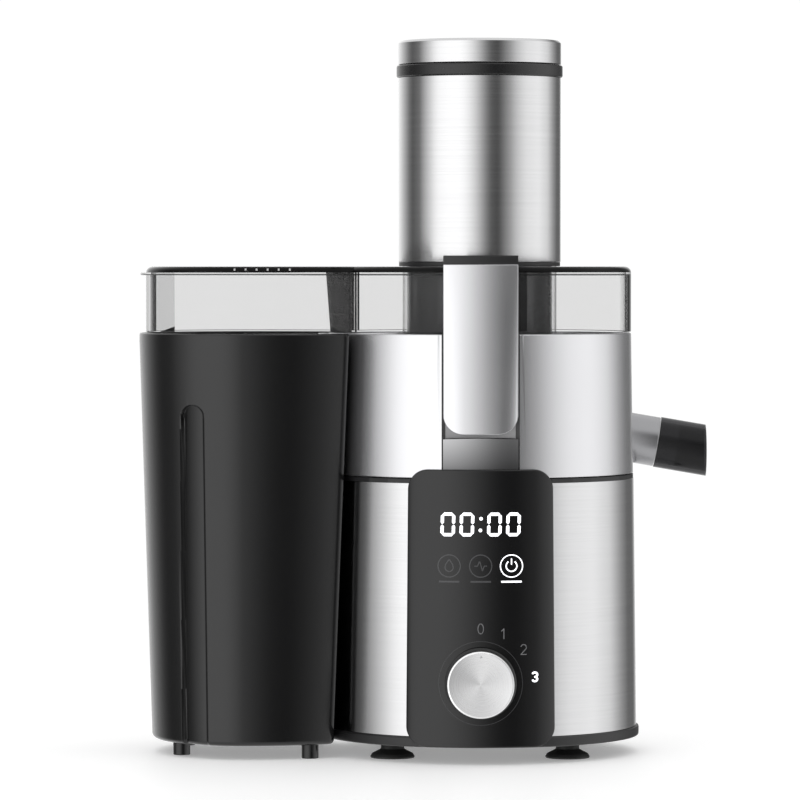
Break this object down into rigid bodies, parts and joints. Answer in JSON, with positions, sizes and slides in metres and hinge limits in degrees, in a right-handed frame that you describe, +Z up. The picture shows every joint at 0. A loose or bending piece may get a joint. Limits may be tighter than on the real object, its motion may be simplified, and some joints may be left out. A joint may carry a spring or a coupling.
{
  "type": "centrifugal juicer",
  "caption": "Centrifugal juicer: motor base with knob and display, latched bowl, spinning filter basket, clear lid, steel-clad feed tube with pusher, side spout and pulp bin.",
  "frame": {"origin": "middle of the footprint, on the worktop", "axes": "+Z up, control panel towards -Y, spout towards +X, pulp bin towards -X"},
  "size_m": [0.3312, 0.202, 0.4148],
  "materials": {
    "brushed_steel": "brushed round the axis, clear coated",
    "silver_plastic": "satin silver paint on plastic",
    "black_plastic": "fine matte black",
    "gloss_black": "gloss black fascia",
    "clear_plastic": "clear moulded plastic",
    "smoked_plastic": "dark smoked plastic",
    "rubber": "matte black rubber",
    "aluminium": "spun face",
    "copper": "enamelled copper wire and copper bars",
    "circuit_board": "green solder mask",
    "steel": "plain steel"
  },
  "bodies": {
    "base": {"base_tray": "black_plastic", "foot_front_left": "rubber", "foot_front_right": "rubber", "foot_back_left": "rubber", "foot_back_right": "rubber", "base_screw_1": "steel", "base_screw_2": "steel", "base_screw_3": "steel", "base_screw_4": "steel", "motor_housing": "black_plastic", "motor_skirt": "black_plastic", "body_shell": "brushed_steel", "control_panel": "gloss_black", "display_board": "circuit_board", "display_module": "black_plastic", "power_board": "circuit_board", "speed_switch": "black_plastic", "safety_switch": "black_plastic", "cord_gland": "rubber", "stator_core": "steel", "field_coil_left": "copper", "field_coil_right": "copper", "lower_bracket": "aluminium", "upper_bracket": "aluminium", "lower_bearing": "steel", "upper_bearing": "steel", "shaft_seal": "rubber", "latch_tower_front": "silver_plastic", "latch_tower_back": "silver_plastic", "latch_pin_front": "steel", "latch_pin_back": "steel"},
    "rotor": {"motor_shaft": "steel", "armature": "steel", "commutator": "copper", "cooling_fan": "black_plastic", "drive_coupling": "black_plastic"},
    "bowl": {"juice_bowl": "silver_plastic", "bowl_ledge": "silver_plastic", "spout_stub": "silver_plastic", "bowl_seal": "rubber"},
    "nozzle": {"spout_nozzle": "smoked_plastic"},
    "basket": {"basket_hub": "black_plastic", "grater_disc": "steel", "filter_screen": "steel", "basket_rim": "black_plastic"},
    "lid": {"clear_lid": "clear_plastic", "pulp_chute": "smoked_plastic", "feed_tube": "clear_plastic", "tube_collar": "black_plastic", "tube_sleeve": "brushed_steel", "tube_rim": "black_plastic"},
    "pusher": {"pusher_body": "smoked_plastic", "pusher_cap": "brushed_steel"},
    "latch_front": {"latch_skin_front": "silver_plastic", "latch_arm_front": "black_plastic"},
    "latch_back": {"latch_skin_back": "silver_plastic", "latch_arm_back": "black_plastic"},
    "pulp_bin": {"pulp_bin": "black_plastic"},
    "knob": {"knob_cap": "aluminium", "knob_body": "black_plastic"}
  },
  "joints": [
    {"name": "motor_spin", "type": "hinge", "parent": "base", "child": "rotor", "pos_m": [0.0334, 0.005, 0.1], "axis": [0, 0, 1], "continuous": true},
    {"name": "bowl_lift", "type": "slide", "parent": "base", "child": "bowl", "axis": [0, 0, 1], "range_m": [0, 0.09]},
    {"name": "basket_spin", "type": "hinge", "parent": "bowl", "child": "basket", "pos_m": [0.0334, 0.005, 0.19], "axis": [0, 0, 1], "continuous": true},
    {"name": "lid_lift", "type": "slide", "parent": "bowl", "child": "lid", "axis": [0, 0, 1], "range_m": [0, 0.1]},
    {"name": "pusher_slide", "type": "slide", "parent": "lid", "child": "pusher", "axis": [0, 0, 1], "range_m": [0, 0.19]},
    {"name": "nozzle_pull", "type": "slide", "parent": "bowl", "child": "nozzle", "axis": [0.9857, 0, -0.1685], "range_m": [0, 0.03]},
    {"name": "latch_front_swing", "type": "hinge", "parent": "base", "child": "latch_front", "pos_m": [0.0334, -0.0795, 0.203], "axis": [1, 0, 0], "range_deg": [0, 38]},
    {"name": "latch_back_swing", "type": "hinge", "parent": "base", "child": "latch_back", "pos_m": [0.0334, 0.0895, 0.203], "axis": [-1, 0, 0], "range_deg": [0, 38]},
    {"name": "bin_slide", "type": "slide", "parent": "base", "child": "pulp_bin", "axis": [-1, 0, 0], "range_m": [0, 0.15]},
    {"name": "knob_turn", "type": "hinge", "parent": "base", "child": "knob", "pos_m": [0.0334, -0.095, 0.0468], "axis": [0, 1, 0], "range_deg": [0, 84]}
  ],
  "couplings": [
    {"joint": "basket_spin", "follows": "motor_spin", "ratio": 1}
  ]
}
